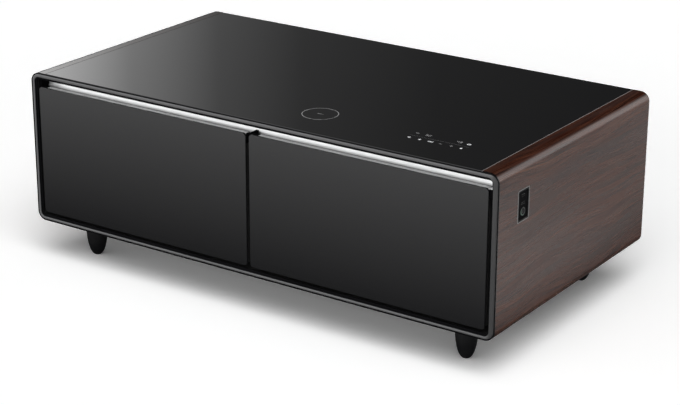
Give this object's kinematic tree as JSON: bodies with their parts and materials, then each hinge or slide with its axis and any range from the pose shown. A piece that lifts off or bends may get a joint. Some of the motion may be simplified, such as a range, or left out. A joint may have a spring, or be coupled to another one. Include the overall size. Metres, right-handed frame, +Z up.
{
  "type": "refrigerator coffee table",
  "caption": "Low rectangular table with a black glass top, wooden sides, round tapered feet and refrigerated drawers on telescopic slides behind black glass fronts.",
  "frame": {"origin": "centre of the footprint, on the floor", "axes": "+X to the right seen from the front, -Y towards the front, +Z up"},
  "size_m": [1.3, 0.706, 0.474],
  "materials": {
    "veneer": "satin",
    "board": "matte",
    "black_laminate": "satin",
    "black_glass": "gloss",
    "frame_paint": "satin",
    "black_trim": "matte",
    "aluminium": "satin",
    "black_sheet": "matte",
    "compressor_paint": "satin",
    "foam": "matte",
    "skinned_foam": "matte",
    "liner_plastic": "satin",
    "bin_plastic": "gloss",
    "seal_rubber": "matte",
    "zinc_steel": "satin",
    "bezel_steel": "satin",
    "foot_plastic": "satin",
    "button_plastic": "satin",
    "ring_light": "gloss",
    "heat_exchanger": "satin",
    "copper_tube": "satin",
    "circuit_board": "satin",
    "supply_case": "satin"
  },
  "bodies": {
    "cabinet": {"base_board": "black_laminate", "button_ring": "ring_light", "button_switch": "circuit_board", "charging_coil": "copper_tube", "compressor_grommets": "seal_rubber", "compressor_plate": "black_sheet", "compressor_shell": "compressor_paint", "condenser": "heat_exchanger", "control_board": "circuit_board", "drip_tray": "bin_plastic", "evaporators": "heat_exchanger", "fan_frame": "black_trim", "flanged_nuts": "zinc_steel", "foot_front_left": "foot_plastic", "foot_front_right": "foot_plastic", "foot_rear_left": "foot_plastic", "foot_rear_right": "foot_plastic", "foot_studs": "zinc_steel", "front_fascia": "black_sheet", "front_frame": "frame_paint", "glass_top": "black_glass", "insulation": "foam", "jamb_lining": "black_trim", "left_liner": "liner_plastic", "left_slide_outer": "zinc_steel", "mains_inlet": "black_trim", "module_bezel": "bezel_steel", "module_housing": "black_trim", "power_supply": "supply_case", "pull_strip": "aluminium", "rear_battens": "board", "rear_panel": "black_sheet", "rear_screws": "zinc_steel", "refrigerant_tubes": "copper_tube", "right_liner": "liner_plastic", "right_slide_outer": "zinc_steel", "side_panel_left": "veneer", "side_panel_right": "veneer", "terminal_cover": "black_trim", "top_board": "board", "touch_board": "circuit_board", "usb_ports": "bezel_steel"},
    "left_drawer": {"left_door_glass": "black_glass", "left_door_core": "skinned_foam", "left_pull_cap": "aluminium", "left_inner_panel": "liner_plastic", "left_gasket": "seal_rubber", "left_bin": "bin_plastic", "left_slide_inner": "zinc_steel"},
    "right_drawer": {"right_door_glass": "black_glass", "right_door_core": "skinned_foam", "right_pull_cap": "aluminium", "right_inner_panel": "liner_plastic", "right_gasket": "seal_rubber", "right_bin": "bin_plastic", "right_slide_inner": "zinc_steel"},
    "left_slides": {"left_slide_middle": "zinc_steel"},
    "right_slides": {"right_slide_middle": "zinc_steel"},
    "button": {"power_button": "button_plastic"},
    "fan": {"condenser_fan": "button_plastic"}
  },
  "joints": [
    {"name": "left_drawer_slide", "type": "slide", "parent": "cabinet", "child": "left_drawer", "axis": [0, -1, 0], "range_m": [0, 0.35]},
    {"name": "left_middle_slide", "type": "slide", "parent": "cabinet", "child": "left_slides", "axis": [0, -1, 0], "range_m": [0, 0.175]},
    {"name": "right_drawer_slide", "type": "slide", "parent": "cabinet", "child": "right_drawer", "axis": [0, -1, 0], "range_m": [0, 0.35]},
    {"name": "right_middle_slide", "type": "slide", "parent": "cabinet", "child": "right_slides", "axis": [0, -1, 0], "range_m": [0, 0.175]},
    {"name": "button_press", "type": "slide", "parent": "cabinet", "child": "button", "axis": [-1, 0, 0], "range_m": [0, 0.0015], "stiffness_N_per_m": 1000, "springref_m": -0.0005},
    {"name": "fan_spin", "type": "hinge", "parent": "cabinet", "child": "fan", "pos_m": [0.115, 0.24225, 0.177], "axis": [1, 0, 0], "continuous": true}
  ],
  "couplings": [
    {"joint": "left_middle_slide", "follows": "left_drawer_slide", "ratio": 0.5},
    {"joint": "right_middle_slide", "follows": "right_drawer_slide", "ratio": 0.5}
  ]
}
